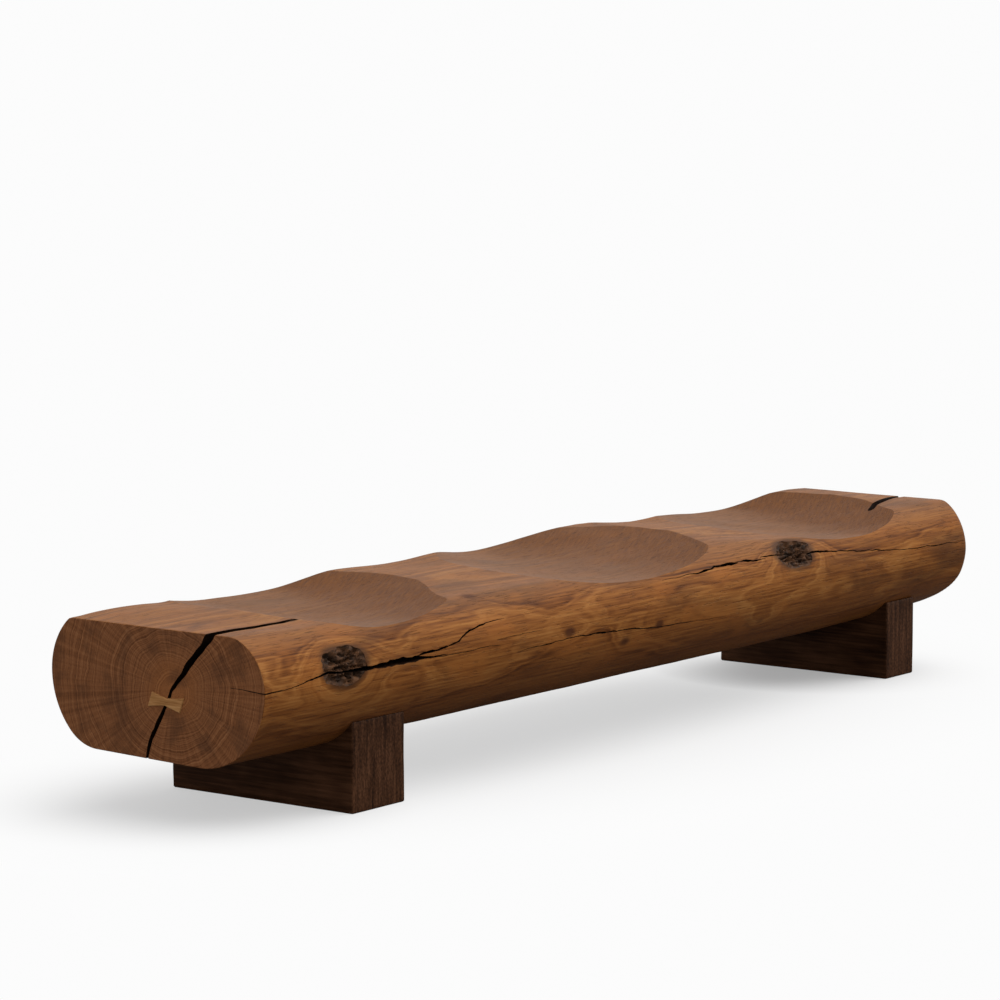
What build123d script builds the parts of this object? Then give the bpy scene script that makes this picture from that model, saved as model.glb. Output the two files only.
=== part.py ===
"""A rustic log bench: one hewn log with three scooped seats, let down onto two bearer blocks.

The frame is +X along the log, -Y at the sitter's front, +Z up. The origin is on the floor at the
middle of the whole bench. The near end of the log, with the butterfly key, is at -X.
"""

import math
import os

from build123d import *

os.makedirs("parts", exist_ok=True)

# ---------------------------------------------------------------- driving dimensions (mm)

# The log
log_length = 2859
log_width = 592  # across its two widest lines
log_thickness = 282  # from the underside to the hewn top, at the near end
underside_back_rise = 8  # the back of the underside is hewn this much higher than the front
widest_rise = 169  # height of the widest lines above the underside
front_flank_run = 180  # the front flank rounds in this far to the flat of the underside
back_flank_run = 146
back_shoulder_run = 109  # from the back to where the log is flattest, before it rolls down to the front
front_shoulder_radius = 105
back_shoulder_radius = 77
front_flank_radius = 109
back_flank_radius = 137
near_end_easing = 5  # radius on the near end's arris
far_end_easing = 53  # the far end is worn much rounder
far_end_top_easing = 15
far_end_low_easing = 150
far_end_lift = 16  # the underside is hewn up this much towards the far end
far_end_lift_run = 600

# How far the hewn top stands above its height at the near end
first_seat_rise = 9
first_land_rise = 7
second_seat_rise = 9
crest_rise = 19.5
saddle_rise = 3
last_land_rise = 18
far_end_rise = 10

# The three seats, from the near end on
first_seat_from_end = 466
second_seat_pitch = 936
third_seat_pitch = 960
seat_depth = 41  # below the first land
seat_cross_radius = 3330  # each seat curves this gently from front to back
first_seat_near_reach = 205  # from the seat's lowest line to its rim, towards the near end
second_seat_near_reach = 341
third_seat_near_reach = 332
first_seat_far_reach = 429  # and towards the far end
second_seat_far_reach = 503
third_seat_far_reach = 333
first_seat_low_line = -26  # where the seat is lowest, front to back
second_seat_low_line = -210
third_seat_low_line = -111
first_seat_turn = -3.2  # degrees: no seat was cut quite square to the log
second_seat_turn = -0.7
third_seat_turn = -7.4
crest_after_second_seat = 410  # the top is highest beside the second seat
saddle_before_third_seat = 275  # and dips before the third
last_land_from_end = 150

# The bearer blocks
foot_height = 198
near_foot_width = 179  # along the log
far_foot_width = 134  # the two blocks were not cut alike
foot_setback = 42  # each end stops this far inside the log's widest line
foot_easing = 4  # all its arrises are chamfered
near_foot_from_end = 333
far_foot_from_end = 220
housing_depth = 63  # how far the log is let down over each block
housing_clearance = 0.3  # on each side of a block

# The butterfly key
key_length = 89
key_end_width = 33
key_waist_width = 16
key_lean = 5  # its ends are out of square: each corner stands off by this much
key_thickness = 25
key_proud = 3
key_easing = 2
key_tilt = -4  # degrees
key_y = -28
key_above_underside = 129
key_clearance = 0.15

# The drying checks at the two ends
near_check_run = 310  # along the top, from the near end
near_check_width = 20  # where it meets the hewn top
near_check_low_width = 8  # where it leaves the underside
near_check_drift = 8  # it bends this far to the back on its way along the top
far_check_run = 205
far_check_width = 20
far_check_low_width = 2  # where it closes, in the heart of the log
far_check_drift = -22
check_tip_width = 14  # a check ends blunt on the top
check_tip_low_width = 1  # and closes below
check_tip_height = 60  # this far down from its mouth

# The lag screws and their washers
screw_diameter = 12
screw_length = 200  # under the head
screw_point = 14  # the tapered end of the shank
screw_tip_diameter = 1
screw_head_across_flats = 19
screw_head_height = 8
screw_clearance = 0.5  # around the shank in the block
pilot_clearance = 0.05  # around the shank in the log
washer_diameter = 36
washer_thickness = 3
counterbore_depth = 88
counterbore_clearance = 2
screw_spacing = 300  # between a block's two screws

# ---------------------------------------------------------------- places worked out from them

overall_length = log_length + key_proud
near_end = -overall_length / 2 + key_proud
far_end = near_end + log_length
middle_of_log = (near_end + far_end) / 2
front = -log_width / 2
back = log_width / 2
underside_front = front + front_flank_run
underside_back = back - back_flank_run
top_flat_back = back - back_shoulder_run

underside = foot_height - housing_depth
widest = underside + widest_rise
hewn_top = underside + log_thickness
highest_top = hewn_top + crest_rise

first_seat_x = near_end + first_seat_from_end
second_seat_x = first_seat_x + second_seat_pitch
third_seat_x = second_seat_x + third_seat_pitch
seat_floor = hewn_top + first_land_rise - seat_depth
seats = (
    (first_seat_x, first_seat_low_line, first_seat_turn, first_seat_near_reach, first_seat_far_reach),
    (second_seat_x, second_seat_low_line, second_seat_turn, second_seat_near_reach, second_seat_far_reach),
    (third_seat_x, third_seat_low_line, third_seat_turn, third_seat_near_reach, third_seat_far_reach),
)

near_foot_x = near_end + near_foot_from_end + near_foot_width / 2
far_foot_x = far_end - far_foot_from_end - far_foot_width / 2
foot_length = log_width - 2 * foot_setback
feet = (("near_foot", near_foot_x, near_foot_width), ("far_foot", far_foot_x, far_foot_width))

key_centre_height = underside + key_above_underside
head_seat = counterbore_depth - washer_thickness  # height of the screw head's bearing face


# ---------------------------------------------------------------- the log


def rounded_corner(flat_end, corner, tight_end, tight_radius):
    """One rounded corner of the outline: a flat arc leaves one end and runs on into a tight arc.

    The two centres stand apart by the difference of the radii, which gives the flat radius.
    """
    leaving = (Vector(corner) - Vector(flat_end)).normalized()
    arriving = (Vector(tight_end) - Vector(corner)).normalized()
    quarter_turn = math.copysign(90, leaving.cross(arriving).Z)
    inward = leaving.rotate(Axis.Z, quarter_turn)
    tight_centre = Vector(tight_end) + arriving.rotate(Axis.Z, quarter_turn) * tight_radius
    gap = Vector(flat_end) - tight_centre
    flat_radius = (tight_radius**2 - gap.dot(gap)) / (2 * (gap.dot(inward) + tight_radius))
    flat_centre = Vector(flat_end) + inward * flat_radius
    join = flat_centre + (tight_centre - flat_centre).normalized() * flat_radius
    flat_arc = TangentArc(flat_end, join, tangent=leaving)
    TangentArc(join, tight_end, tangent=flat_arc % 1)


def log_outline():
    """The log's outline across its length: flat below, bulging sides and a soft front shoulder."""
    slope = underside_back_rise / (underside_back - underside_front)
    low_front = (underside_front, underside)
    low_back = (underside_back, underside + underside_back_rise)
    low_front_corner = (front, underside + slope * (front - underside_front))
    low_back_corner = (back, underside + slope * (back - underside_front))
    side_front = (front, widest)
    side_back = (back, widest)
    top_back = (top_flat_back, highest_top)
    Line(low_front, low_back)
    rounded_corner(low_front, low_front_corner, side_front, front_flank_radius)
    rounded_corner(side_back, low_back_corner, low_back, back_flank_radius)
    rounded_corner(top_back, (front, highest_top), side_front, front_shoulder_radius)
    rounded_corner(side_back, (back, highest_top), top_back, back_shoulder_radius)


def hewn_profile():
    """The log from the side: the top as one gentle wave, the far end lifted, square ends to be eased."""
    top_points = [
        (near_end, hewn_top),
        (first_seat_x, hewn_top + first_seat_rise),
        ((first_seat_x + second_seat_x) / 2, hewn_top + first_land_rise),
        (second_seat_x, hewn_top + second_seat_rise),
        (second_seat_x + crest_after_second_seat, highest_top),
        (third_seat_x - saddle_before_third_seat, hewn_top + saddle_rise),
        (far_end - last_land_from_end, hewn_top + last_land_rise),
        (far_end, hewn_top + far_end_rise),
    ]
    low_points = [
        (far_end, underside + far_end_lift),
        (far_end - far_end_lift_run, underside),
        (near_end, underside),
    ]
    Spline(*top_points)
    Polyline(top_points[-1], *low_points, top_points[0])


def arc_radius(reach, depth):
    """Radius of the arc that is depth deep at its lowest point and meets the rim at reach."""
    return (reach**2 + depth**2) / (2 * depth)


def dish_profile(near_reach, far_reach):
    """Lengthwise profile of a seat's cutter, drawn hanging from the axis that the cutter turns on.

    Two arcs of different radius meet at the lowest point, and the ends stand above the log.
    """
    lowest = -seat_cross_radius
    spare = 2  # the arcs are carried on to this many times the seat's depth
    near_radius = arc_radius(near_reach, seat_depth)
    far_radius = arc_radius(far_reach, seat_depth)
    rise = spare * seat_depth
    near_x = -math.sqrt(2 * near_radius * rise - rise**2)
    far_x = math.sqrt(2 * far_radius * rise - rise**2)
    RadiusArc((near_x, lowest + rise), (0, lowest), -near_radius)
    RadiusArc((0, lowest), (far_x, lowest + rise), -far_radius)
    Line((far_x, lowest + rise), (near_x, lowest + rise))


def check_outline(path, mouth_width, lowest_width):
    """A drying check on an end face: a ragged line that narrows evenly from its mouth to its foot."""
    steps = len(path) - 1
    left = []
    right = []
    for step, (y, z) in enumerate(path):
        half_width = (mouth_width + (lowest_width - mouth_width) * step / steps) / 2
        left.append((y - half_width, z))
        right.append((y + half_width, z))
    Polyline(*left, *reversed(right), close=True)


def closed_check(path, drift):
    """The same line where the check ends inside the log: a small copy, drawn up under the top."""
    first_y, first_z = path[0]
    share = check_tip_height / (first_z - path[-1][1])
    return [(first_y + drift + (y - first_y) * share, first_z + (z - first_z) * share) for y, z in path]


def butterfly_outline(margin=0):
    """The key's double dovetail, wide at both ends and narrow at the waist, its ends a little askew."""
    far_corner = key_length / 2 + key_lean + margin
    close_corner = key_length / 2 - key_lean + margin
    half_end = key_end_width / 2 + margin
    half_waist = key_waist_width / 2 + margin
    right_side = [(0, half_waist), (far_corner, half_end), (close_corner, -half_end), (0, -half_waist)]
    left_side = [(-far_corner, -half_end), (-close_corner, half_end)]
    Polyline(*right_side, *left_side, close=True)


def on_end_face(line):
    """Points of a check, each given by its shares of the log's width and of its thickness, down."""
    return [(across * log_width, hewn_top - down * log_thickness) for across, down in line]


# The near check leans across the whole end face and passes under the key
near_check_above_key = on_end_face(
    [(-0.272, -0.06), (-0.254, 0.01), (-0.2, 0.14), (-0.105, 0.37), (-0.078, 0.42), (-0.066, 0.47)]
)
near_check_below_key = on_end_face([(-0.019, 0.67), (0.026, 0.835), (0.05, 1.01)])
near_check_path = [*near_check_above_key, (key_y, key_centre_height), *near_check_below_key]
# The far check runs from the top towards the heart of the log and closes there
far_check_path = on_end_face(
    [(-0.133, -0.09), (-0.122, 0.07), (-0.099, 0.21), (-0.088, 0.34), (-0.061, 0.5)]
)

key_plane = Plane(
    origin=(near_end, key_y, key_centre_height),
    x_dir=Vector(0, -1, 0).rotate(Axis.X, -key_tilt),
    z_dir=(-1, 0, 0),
)

with BuildPart() as log:
    # The round log, hewn along the top and rounded over at its far end
    with BuildSketch(Plane.YZ.offset(near_end)):
        with BuildLine():
            log_outline()
        make_face()
    extrude(amount=log_length)
    with BuildSketch(Plane.XZ.offset(-back)) as side_view:
        with BuildLine():
            hewn_profile()
        make_face()
        fillet(side_view.vertices().group_by(Axis.X)[0], near_end_easing)
        far_corners = side_view.vertices().group_by(Axis.X)[-1].sort_by(Axis.Z)
        fillet(far_corners[0], far_end_low_easing)
        fillet(far_corners[-1], far_end_top_easing)
    extrude(amount=log_width, mode=Mode.INTERSECT)
    with BuildSketch(Plane.XY) as plan_view:
        with Locations((middle_of_log, 0)):
            Rectangle(log_length, log_width)
        fillet(plan_view.vertices().group_by(Axis.X)[0], near_end_easing)
        fillet(plan_view.vertices().group_by(Axis.X)[-1], far_end_easing)
    extrude(amount=highest_top, mode=Mode.INTERSECT)

    # Three scooped seats
    for seat_x, low_line, turn, near_reach, far_reach in seats:
        along_seat = Vector(1, 0, 0).rotate(Axis.Z, turn)
        turning_axis = Axis((seat_x, low_line, seat_floor + seat_cross_radius), along_seat)
        half_swing = math.degrees(math.asin(log_width / seat_cross_radius))
        swing_plane = Plane(
            origin=turning_axis.position,
            x_dir=along_seat,
            z_dir=Vector(0, -1, 0).rotate(Axis.Z, turn).rotate(Axis((0, 0, 0), along_seat), -half_swing),
        )
        with BuildSketch(swing_plane):
            with BuildLine():
                dish_profile(near_reach, far_reach)
            make_face()
        revolve(axis=turning_axis, revolution_arc=2 * half_swing, mode=Mode.SUBTRACT)

    # A housing across the underside for each block, and pilot holes for its screws
    for _, foot_x, foot_width in feet:
        with Locations((foot_x, 0, foot_height)):
            Box(
                foot_width + 2 * housing_clearance,
                log_width,
                foot_height,
                align=(Align.CENTER, Align.CENTER, Align.MAX),
                mode=Mode.SUBTRACT,
            )
        with BuildSketch(Plane.XY.offset(foot_height)):
            with Locations((foot_x, -screw_spacing / 2), (foot_x, screw_spacing / 2)):
                Circle(screw_diameter / 2 + pilot_clearance)
        extrude(amount=head_seat + screw_length - foot_height, mode=Mode.SUBTRACT)

    # The two drying checks, each narrowing from its end face to a thin tip inside the log
    for end_x, inward, path, drift, mouth_width, lowest_width in (
        (near_end, near_check_run, near_check_path, near_check_drift, near_check_width, near_check_low_width),
        (far_end, -far_check_run, far_check_path, far_check_drift, far_check_width, far_check_low_width),
    ):
        with BuildSketch(Plane.YZ.offset(end_x)):
            with BuildLine():
                check_outline(path, mouth_width, lowest_width)
            make_face()
        with BuildSketch(Plane.YZ.offset(end_x + inward)):
            with BuildLine():
                check_outline(closed_check(path, drift), check_tip_width, check_tip_low_width)
            make_face()
        loft(ruled=True, mode=Mode.SUBTRACT)

    # The recess for the key
    with BuildSketch(key_plane):
        with BuildLine():
            butterfly_outline(key_clearance)
        make_face()
    extrude(amount=-(key_thickness - key_proud), mode=Mode.SUBTRACT)

log.part.label = "log"
export_step(log.part, "parts/log.step")

# ---------------------------------------------------------------- the butterfly key

with BuildPart() as butterfly_key:
    with BuildSketch(key_plane.offset(key_proud)):
        with BuildLine():
            butterfly_outline()
        make_face()
    extrude(amount=-key_thickness)
    chamfer(butterfly_key.faces().sort_by(Axis.X)[0].edges(), key_easing)

butterfly_key.part.label = "butterfly_key"
export_step(butterfly_key.part, "parts/butterfly_key.step")

# ---------------------------------------------------------------- the bearer blocks, screws and washers

for foot_name, foot_x, foot_width in feet:
    with BuildPart() as foot:
        with Locations((foot_x, 0, 0)):
            Box(foot_width, foot_length, foot_height, align=(Align.CENTER, Align.CENTER, Align.MIN))
        chamfer(foot.edges(), foot_easing)
        with BuildSketch(Plane.XY):
            with Locations((foot_x, -screw_spacing / 2), (foot_x, screw_spacing / 2)):
                Circle(washer_diameter / 2 + counterbore_clearance)
        extrude(amount=counterbore_depth, mode=Mode.SUBTRACT)
        with BuildSketch(Plane.XY.offset(counterbore_depth)):
            with Locations((foot_x, -screw_spacing / 2), (foot_x, screw_spacing / 2)):
                Circle(screw_diameter / 2 + screw_clearance)
        extrude(amount=foot_height, mode=Mode.SUBTRACT)
    foot.part.label = foot_name
    export_step(foot.part, f"parts/{foot_name}.step")

    for side_name, screw_y in (("front", -screw_spacing / 2), ("back", screw_spacing / 2)):
        with BuildPart() as lag_screw:
            with BuildSketch(Plane.XY.offset(head_seat - screw_head_height)):
                with Locations((foot_x, screw_y)):
                    RegularPolygon(screw_head_across_flats / 2, 6, major_radius=False)
            extrude(amount=screw_head_height)
            with BuildSketch(Plane.XY.offset(head_seat)):
                with Locations((foot_x, screw_y)):
                    Circle(screw_diameter / 2)
            extrude(amount=screw_length)
            tip_edge = lag_screw.edges().sort_by(Axis.Z)[-1]
            chamfer(tip_edge, length=screw_point, length2=(screw_diameter - screw_tip_diameter) / 2)
        lag_screw.part.label = f"{foot_name}_{side_name}_lag_screw"
        export_step(lag_screw.part, f"parts/{lag_screw.part.label}.step")

        with BuildPart() as washer:
            with BuildSketch(Plane.XY.offset(head_seat)):
                with Locations((foot_x, screw_y)):
                    Circle(washer_diameter / 2)
                    Circle(screw_diameter / 2 + screw_clearance, mode=Mode.SUBTRACT)
            extrude(amount=washer_thickness)
        washer.part.label = f"{foot_name}_{side_name}_washer"
        export_step(washer.part, f"parts/{washer.part.label}.step")
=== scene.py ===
# %% [markdown]
# # A rustic log bench
# The real bench is one hewn log, scooped into three seats and let down onto two dark blocks.
# A pale butterfly key holds a drying check together on the near end.
# The packed CAD model gives the overall sizes and the places, and this script dresses it.
# Each step below says what the real thing is, how it could be made, and why this way was chosen.

# %% Tools and the packed frame
import math

import bpy
import numpy as np
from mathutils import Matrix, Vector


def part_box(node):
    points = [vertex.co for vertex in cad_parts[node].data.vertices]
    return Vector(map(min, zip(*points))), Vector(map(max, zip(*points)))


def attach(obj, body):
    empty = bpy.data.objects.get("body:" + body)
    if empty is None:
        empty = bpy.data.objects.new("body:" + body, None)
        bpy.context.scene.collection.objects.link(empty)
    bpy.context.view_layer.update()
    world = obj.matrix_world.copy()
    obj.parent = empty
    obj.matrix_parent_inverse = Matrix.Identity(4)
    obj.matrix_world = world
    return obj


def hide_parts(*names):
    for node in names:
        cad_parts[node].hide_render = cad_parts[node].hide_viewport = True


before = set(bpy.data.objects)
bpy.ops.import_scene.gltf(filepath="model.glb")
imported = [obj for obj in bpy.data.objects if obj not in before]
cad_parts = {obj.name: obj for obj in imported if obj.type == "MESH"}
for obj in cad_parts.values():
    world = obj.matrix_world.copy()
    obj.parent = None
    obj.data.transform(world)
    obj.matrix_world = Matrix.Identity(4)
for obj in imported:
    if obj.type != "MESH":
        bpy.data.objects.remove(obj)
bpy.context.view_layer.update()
MM = 0.001  # lengths are in metres, and are written as millimetres times this
print("nodes:", sorted(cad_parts))

# %% [markdown]
# ## Places that come from the frame
# The log, the blocks and the key already stand where they belong.
# Their boxes give the ends of the log and the blocks' middles, so a moved end or block is followed.
# Seats, checks and knots are set by this script's own tables, measured from the ends.


# %% Places read from the CAD nodes
def node_box(name):
    """Lowest and highest corner of a CAD node as two arrays."""
    return [np.array(corner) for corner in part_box(name)]


(NEAR_END, FRONT, UNDERSIDE), (FAR_END, BACK, HIGHEST) = node_box("log")
WIDEST = UNDERSIDE + 169 * MM
BLOCKS = ("near_foot", "far_foot")
SIDES = ("front", "back")
print("log from", round(NEAR_END, 4), "to", round(FAR_END, 4), "m, up to", round(HIGHEST, 4), "m")

# %% [markdown]
# ## Camera and studio
# The camera stands far off at eye height, with a long lens, because a long bench looks natural so.
# Soft light comes from a broad sun, high up towards the far end and a little to the front, and from
# a pale world. They light every part
# of the floor alike, where a lamp near the bench would leave a bright pool. The world is plain white
# to the camera and in mirrored and clear rays. It is dimmer to all others, so its white doesn't flood
# the wood.

# %% Camera
camera_data = bpy.data.cameras.new("camera")
camera_data.sensor_width = 36
camera_data.lens = 139.14
camera = bpy.data.objects.new("camera", camera_data)
camera.location = (-7.3461, -5.3160, 1.6303)
camera.rotation_euler = (math.radians(83.19), 0, math.radians(-53.22))
bpy.context.scene.collection.objects.link(camera)
bpy.context.scene.camera = camera
bpy.context.scene.view_settings.view_transform = "Standard"
print("camera:", camera_data.lens, "mm lens, at", [round(value, 3) for value in camera.location])

# %% Sun and world
WHITE = 0.972  # how white the backdrop and the bright floor look
WORLD_LIGHT = 0.63
SUN_LIGHT = 1.95
sun_data = bpy.data.lights.new("soft_sun", "SUN")
sun_data.energy = SUN_LIGHT
sun_data.angle = math.radians(60)
sun = bpy.data.objects.new("soft_sun", sun_data)
sun.rotation_euler = (math.radians(16), math.radians(30), 0)
bpy.context.scene.collection.objects.link(sun)

world = bpy.data.worlds.new("studio")
world.use_nodes = True
bpy.context.scene.world = world
tree = world.node_tree
light = tree.nodes["Background"]
light.inputs["Color"].default_value = (1, 1, 1, 1)
light.inputs["Strength"].default_value = WORLD_LIGHT
white = tree.nodes.new("ShaderNodeBackground")
white.inputs["Color"].default_value = (WHITE, WHITE, WHITE, 1)
path = tree.nodes.new("ShaderNodeLightPath")
mirror = tree.nodes.new("ShaderNodeMath")
mirror.operation = "MAXIMUM"
seen = tree.nodes.new("ShaderNodeMath")
seen.operation = "MAXIMUM"
choice = tree.nodes.new("ShaderNodeMixShader")
tree.links.new(path.outputs["Is Glossy Ray"], mirror.inputs[0])
tree.links.new(path.outputs["Is Transmission Ray"], mirror.inputs[1])
tree.links.new(path.outputs["Is Camera Ray"], seen.inputs[0])
tree.links.new(mirror.outputs[0], seen.inputs[1])
tree.links.new(seen.outputs[0], choice.inputs[0])
tree.links.new(light.outputs[0], choice.inputs[1])
tree.links.new(white.outputs[0], choice.inputs[2])
tree.links.new(choice.outputs[0], tree.nodes["World Output"].inputs["Surface"])
print("light: sun", SUN_LIGHT, "and world", WORLD_LIGHT)

# %% [markdown]
# ## Recipes for materials
# A material is a tree of small nodes. Adding each node and each link by hand takes four lines a time
# and hides the idea. This helper adds one node per call and gives back its output, so that
# a finish reads as a formula. Every pattern reads Object coordinates, so it is part of the piece.


# %% Recipe helper
class Recipe:
    """Grows a node tree. Every call adds one node and gives back the socket that comes out of it."""

    def __init__(self, name):
        self.material = bpy.data.materials.new(name)
        self.material.use_nodes = True
        self.tree = self.material.node_tree
        self.shader = self.tree.nodes["Principled BSDF"]
        coordinates = self.tree.nodes.new("ShaderNodeTexCoord")
        self.place = coordinates.outputs["Object"]
        self.facing = coordinates.outputs["Normal"]

    def add(self, kind, inputs, output=0, **settings):
        """One node: its settings, then its inputs by name or number, as values or as sockets."""
        node = self.tree.nodes.new("ShaderNode" + kind)
        for key, value in settings.items():
            setattr(node, key, value)
        for socket, value in inputs.items():
            if isinstance(value, bpy.types.NodeSocket):
                self.tree.links.new(value, node.inputs[socket])
            else:
                node.inputs[socket].default_value = value
        return node.outputs[output]

    def number(self, operation, first, second=0.0):
        """Arithmetic on two numbers."""
        return self.add("Math", {0: first, 1: second}, operation=operation)

    def vector(self, operation, first, second=(0, 0, 0), output=0):
        """Arithmetic on two vectors."""
        return self.add("VectorMath", {0: first, 1: second}, output, operation=operation)

    def step(self, value, low, high, start=0.0, end=1.0):
        """A smooth step: start where value is at low, end where it is at high."""
        inputs = {"Value": value, "From Min": low, "From Max": high, "To Min": start, "To Max": end}
        return self.add("MapRange", inputs, interpolation_type="SMOOTHSTEP")

    def noise(self, stretch, detail, roughness=0.5):
        """Cloudy noise from 0 to 1, with so many clouds per metre along x, y and z."""
        scaled = self.vector("MULTIPLY", self.place, stretch)
        inputs = {"Vector": scaled, "Scale": 1.0, "Detail": detail, "Roughness": roughness}
        return self.add("TexNoise", inputs)

    def weighted(self, *parts):
        """Sum of value x share over pairs of a value and its share."""
        total = 0.0
        for value, share in parts:
            total = self.add("Math", {0: value, 1: share, 2: total}, operation="MULTIPLY_ADD")
        return total

    def mix(self, share, first, second):
        """Share of the second colour over the first."""
        inputs = {0: share, 6: first, 7: second}
        return self.add("Mix", inputs, 2, data_type="RGBA")

    def ramp(self, value, *stops):
        """Colours at given values, with straight lines between them."""
        node = self.tree.nodes.new("ShaderNodeValToRGB")
        elements = node.color_ramp.elements
        while len(elements) < len(stops):
            elements.new(0.5)
        for element, (position, colour) in zip(elements, stops):
            element.position = position
            element.color = (*colour, 1)
        self.tree.links.new(value, node.inputs[0])
        return node.outputs[0]

    def mark(self, name):
        """A face mark set when the mesh was made."""
        return self.add("Attribute", {}, 2, attribute_name=name)

    def surface(self, colour, roughness, height=None, depth=0.001, **constants):
        """Ends the recipe: colour, roughness, and height as bumps of so many metres."""
        self.tree.links.new(colour, self.shader.inputs["Base Color"])
        if isinstance(roughness, bpy.types.NodeSocket):
            self.tree.links.new(roughness, self.shader.inputs["Roughness"])
        else:
            self.shader.inputs["Roughness"].default_value = roughness
        if height is not None:
            bump = self.add("Bump", {"Height": height, "Distance": depth, "Strength": 1.0})
            self.tree.links.new(bump, self.shader.inputs["Normal"])
        for name, value in constants.items():
            self.shader.inputs[name.replace("_", " ")].default_value = value
        return self.material


print("recipe steps:", ", ".join(name for name in vars(Recipe) if not name.startswith("_")))

# %% [markdown]
# ## The floor
# A studio floor is pale paper that runs out of sight. One big square does for it, but lit like the wood
# it would be grey far off and show a horizon. So it glows white to the camera, and less near the bench,
# where its true shadow is let through. All other rays meet a darker floor, so little light comes back
# up under the log.

# %% Floor
FLOOR_REACH = 40
FLOOR_SEEN = (0.80, 0.80, 0.80, 1)  # its colour to the camera
FLOOR_BOUNCE = (0.20, 0.20, 0.20, 1)  # its colour to all other rays
SHADOWS = (
    # middle, stretch of the distance from it, where it is darkest and where clear, least glow
    ((0, 0, 0), (0.5, 1, 1), 0.25, 0.95, 0.60),
    ((-1.12, 0.10, 0), (1, 1, 1), 0.20, 0.66, 0.50),
    ((1.05, 0, 0), (1, 1, 1), 0.10, 0.60, 0.32),
)


def floor_finish():
    """Pale and matt. To the camera the floor glows in part, so that its shadow stays light and soft."""
    recipe = Recipe("floor_finish")
    looks = recipe.add("LightPath", {}, "Is Camera Ray")
    pale = recipe.mix(looks, FLOOR_BOUNCE, FLOOR_SEEN)
    recipe.surface(pale, 0.9, Specular_IOR_Level=0.0)
    share = looks
    for middle, stretch, dark, clear, least in SHADOWS:
        offset = recipe.vector("SUBTRACT", recipe.place, middle)
        far_off = recipe.vector("LENGTH", recipe.vector("MULTIPLY", offset, stretch), output=1)
        share = recipe.number("MINIMUM", share, recipe.step(far_off, dark, clear, least, 1.0))
    share = recipe.number("MULTIPLY", share, looks)
    glow = recipe.add("Emission", {"Color": (1, 1, 1, 1), "Strength": WHITE})
    blend = recipe.add("MixShader", {0: share, 1: recipe.shader.outputs[0], 2: glow})
    recipe.tree.links.new(blend, recipe.tree.nodes["Material Output"].inputs["Surface"])
    return recipe.material


corners = [(-FLOOR_REACH, -FLOOR_REACH, 0), (FLOOR_REACH, -FLOOR_REACH, 0)]
corners += [(FLOOR_REACH, FLOOR_REACH, 0), (-FLOOR_REACH, FLOOR_REACH, 0)]
floor_mesh = bpy.data.meshes.new("floor")
floor_mesh.from_pydata(corners, [], [(0, 1, 2, 3)])
floor = bpy.data.objects.new("floor", floor_mesh)
floor.data.materials.append(floor_finish())
bpy.context.scene.collection.objects.link(floor)
print("floor:", 2 * FLOOR_REACH, "m wide, with", len(SHADOWS), "soft shadow patches")

# %% [markdown]
# ## Seeded unevenness
# Nothing hewn is quite flat. A noise texture could shift the surface in the shader, but a silhouette
# needs real geometry. A sum of a few plane waves with random directions is smooth and quick,
# works on whole arrays, and is the same at every run because every use has a fixed seed.
# Torn edges are different: they run straight for a little and then turn.

# %% Waves and torn lines
WAVE_COUNT = 14


def waves(points, lengths, seed):
    """Mean 0, spread 1: the sum of cos(2 pi k.p + phase) over random k, over sqrt(count / 2)."""
    rng = np.random.default_rng(seed)
    directions = rng.normal(size=(WAVE_COUNT, 3))
    directions /= np.linalg.norm(directions, axis=1, keepdims=True)
    waviness = directions * rng.uniform(0.6, 1.6, (WAVE_COUNT, 1)) / np.array(lengths)
    phases = rng.uniform(0, 2 * np.pi, WAVE_COUNT)
    return np.cos(2 * np.pi * points @ waviness.T + phases).sum(-1) / math.sqrt(WAVE_COUNT / 2)


def torn(along, spacing, seed):
    """Between -1 and 1: random values at uneven knots along a line, with straight runs between."""
    rng = np.random.default_rng(seed)
    knots = np.cumsum(rng.uniform(0.4, 1.6, int(np.max(along) / spacing * 1.5) + 6)) * spacing - spacing
    return np.interp(along, knots, rng.uniform(-1, 1, len(knots)))


def smooth_step(t):
    """Rises from 0 to 1 with no kink: t^2 (3 - 2 t)."""
    t = np.clip(t, 0, 1)
    return t * t * (3 - 2 * t)


print("smooth step at quarters:", smooth_step(np.linspace(0, 1, 5)))

# %% [markdown]
# ## Tubes closed at both ends
# Almost every piece here is a row of outlines, one after another along a line: the log, a seat's
# cutter, a crack, a block, a screw. One helper turns a grid of points, rows by columns, into a closed
# mesh whose columns wrap round. Each end is closed by one face with many sides.

# %% Grid of points to mesh
MARKS = ("seat", "cleft", "knot")


def ring_faces(rows, columns):
    """Quads of a grid whose last column joins the first: (i, j), (i, j+1), (i+1, j+1), (i+1, j)."""
    i, j = np.meshgrid(np.arange(rows - 1), np.arange(columns), indexing="ij")
    after = (j + 1) % columns
    below, above = i * columns, (i + 1) * columns
    return np.stack([below + j, below + after, above + after, above + j]).reshape(4, -1).T


def enclosed_volume(points, faces):
    """A sixth of the sum of p0 . (p1 x p2) over the quads' triangles. Inside out, it is negative."""
    corner = points[faces]
    first = np.einsum("ij,ij->i", corner[:, 0], np.cross(corner[:, 1], corner[:, 2]))
    second = np.einsum("ij,ij->i", corner[:, 0], np.cross(corner[:, 2], corner[:, 3]))
    return (first.sum() + second.sum()) / 6


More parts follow.
